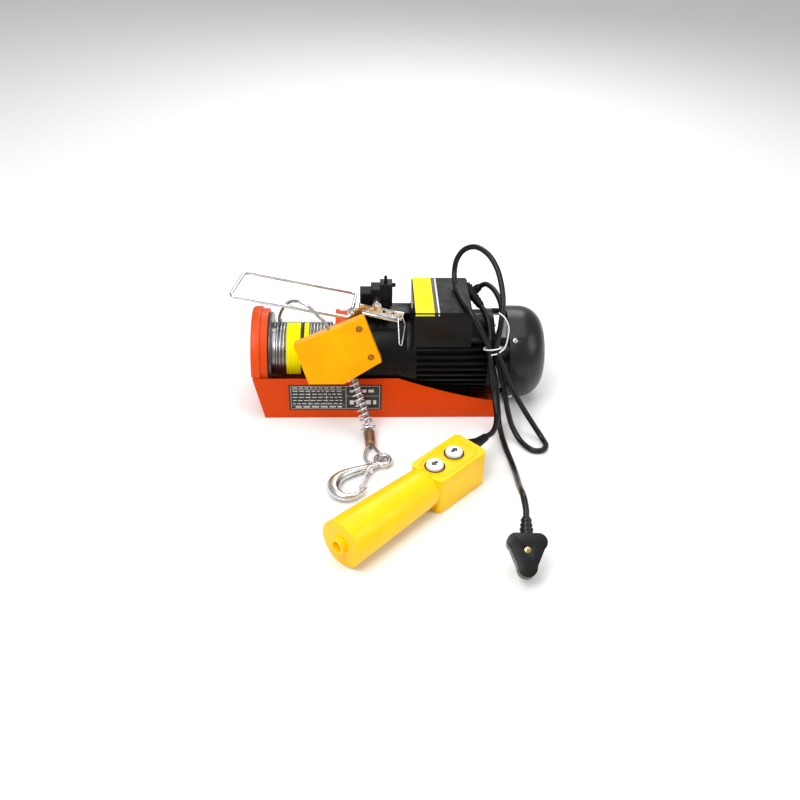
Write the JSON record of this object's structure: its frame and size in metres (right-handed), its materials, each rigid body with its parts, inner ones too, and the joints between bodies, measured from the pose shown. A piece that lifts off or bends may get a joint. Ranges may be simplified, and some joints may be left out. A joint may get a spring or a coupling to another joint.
{
  "type": "electric wire rope hoist",
  "caption": "Mini electric wire rope hoist: motor, gearbox and rope drum in an orange pan, with limit lever, stop block, latched hook, push-button handset and plug.",
  "frame": {"origin": "centre of the four hanger bolt holes, on the underside of the base pan", "axes": "+Z out of the pan towards the drum and motor, +X along the shaft axis from the drum to the fan cover, +Y away from the hook and handset"},
  "size_m": [0.4006, 0.4364, 0.2054],
  "materials": {
    "orange_paint": "semi-gloss powder coat",
    "cover_paint": "semi-gloss powder coat",
    "black_paint": "satin black paint over castings",
    "fan_cover_plastic": "dark blue-grey moulding",
    "black_plastic": "fine matt moulding",
    "cord_rubber": "satin black sheath",
    "zinc": "bright zinc plate",
    "bright_steel": "ground steel",
    "rope_wire": "galvanised wire strands",
    "drum_grey": "grey paint",
    "ferrule_copper": "pressed copper",
    "winding_copper": "enamelled copper wire",
    "lining": "brake lining",
    "block_amber": "amber moulding",
    "handset_yellow": "soft yellow moulding",
    "white_plastic": "white moulding",
    "plate_print": "black printed plate",
    "label_yellow": "yellow sticker",
    "pin_brass": "turned brass"
  },
  "bodies": {
    "frame": {"base_pan": "orange_paint", "end_cover": "cover_paint", "case_screws": "zinc", "drum_bearings": "bright_steel", "gearbox_housing": "black_paint", "idler_bearings": "bright_steel", "bearing_plate": "black_paint", "rotor_bearings": "bright_steel", "motor_housing": "black_paint", "stator_core": "bright_steel", "stator_windings": "winding_copper", "end_shield": "black_paint", "brake_lining": "lining", "fan_cover": "fan_cover_plastic", "terminal_box": "black_paint", "terminal_lid": "black_plastic", "terminal_block": "white_plastic", "cord_glands": "black_plastic", "rating_plate": "plate_print", "switch_bracket": "black_paint", "limit_switch": "black_plastic", "lever_pivot": "zinc", "rope_free": "rope_wire", "rope_eye": "rope_wire", "rope_ferrule": "ferrule_copper", "spring_washer": "zinc", "buffer_spring": "zinc", "handset_upper": "handset_yellow", "handset_lower": "handset_yellow", "handset_gland": "black_plastic", "capacitor": "white_plastic", "switch_module": "black_plastic", "power_cord": "cord_rubber", "control_cord": "cord_rubber", "cord_tie": "white_plastic", "plug_body": "cord_rubber", "plug_pins": "pin_brass"},
    "drum": {"drum_barrel": "drum_grey", "drum_left_flange": "drum_grey", "drum_right_flange": "cover_paint", "drum_shaft": "bright_steel", "drum_gear": "bright_steel", "wound_rope": "rope_wire", "rope_label": "label_yellow"},
    "idler": {"idler_shaft": "bright_steel", "idler_gear": "bright_steel"},
    "rotor": {"rotor_shaft": "bright_steel", "rotor_core": "bright_steel", "cooling_fan": "fan_cover_plastic", "brake_disc": "bright_steel"},
    "limit_arm": {"limit_lever": "zinc", "limit_bail": "zinc"},
    "plunger": {"switch_plunger": "black_plastic"},
    "stop_block": {"block_front": "block_amber", "block_rear": "block_amber", "block_screws": "zinc"},
    "load_hook": {"hook": "zinc"},
    "latch": {"hook_latch": "zinc"},
    "up_button": {"button_up": "white_plastic"},
    "down_button": {"button_down": "white_plastic"}
  },
  "joints": [
    {"name": "drum_spin", "type": "hinge", "parent": "frame", "child": "drum", "pos_m": [-0.1, 0, 0.0625], "axis": [1, 0, 0], "continuous": true},
    {"name": "idler_spin", "type": "hinge", "parent": "frame", "child": "idler", "pos_m": [0, 0, 0.035], "axis": [1, 0, 0], "continuous": true},
    {"name": "rotor_spin", "type": "hinge", "parent": "frame", "child": "rotor", "pos_m": [0.1, 0, 0.0625], "axis": [1, 0, 0], "continuous": true},
    {"name": "limit_lever_turn", "type": "hinge", "parent": "frame", "child": "limit_arm", "pos_m": [-0.0093, -0.0255, 0.1455], "axis": [0, -1, 0], "range_deg": [0, 8], "stiffness_Nm_per_rad": 0.4, "springref_deg": -17.19},
    {"name": "plunger_slide", "type": "slide", "parent": "frame", "child": "plunger", "axis": [0, 0, 1], "range_m": [0, 0.0017]},
    {"name": "stop_block_slide", "type": "slide", "parent": "frame", "child": "stop_block", "axis": [-0.4379, 0.3222, 0.8393], "range_m": [0, 0.003]},
    {"name": "hook_swing", "type": "hinge", "parent": "frame", "child": "load_hook", "pos_m": [-0.0034, -0.16, 0.0074], "axis": [0, 0, 1], "range_deg": [-15, 25]},
    {"name": "latch_turn", "type": "hinge", "parent": "load_hook", "child": "latch", "pos_m": [-0.01928, -0.17675, 0.0074], "axis": [0, 0, -1], "range_deg": [0, 30], "stiffness_Nm_per_rad": 0.02, "springref_deg": -28.65},
    {"name": "up_press", "type": "slide", "parent": "frame", "child": "up_button", "axis": [0, 0, -1], "range_m": [0, 0.003], "stiffness_N_per_m": 300, "springref_m": -0.002},
    {"name": "down_press", "type": "slide", "parent": "frame", "child": "down_button", "axis": [0, 0, -1], "range_m": [0, 0.003], "stiffness_N_per_m": 300, "springref_m": -0.002}
  ],
  "couplings": [
    {"joint": "idler_spin", "follows": "drum_spin", "ratio": -4.5},
    {"joint": "rotor_spin", "follows": "drum_spin", "ratio": 20.25},
    {"joint": "plunger_slide", "follows": "limit_lever_turn", "m_per_rad": 0.0113}
  ]
}
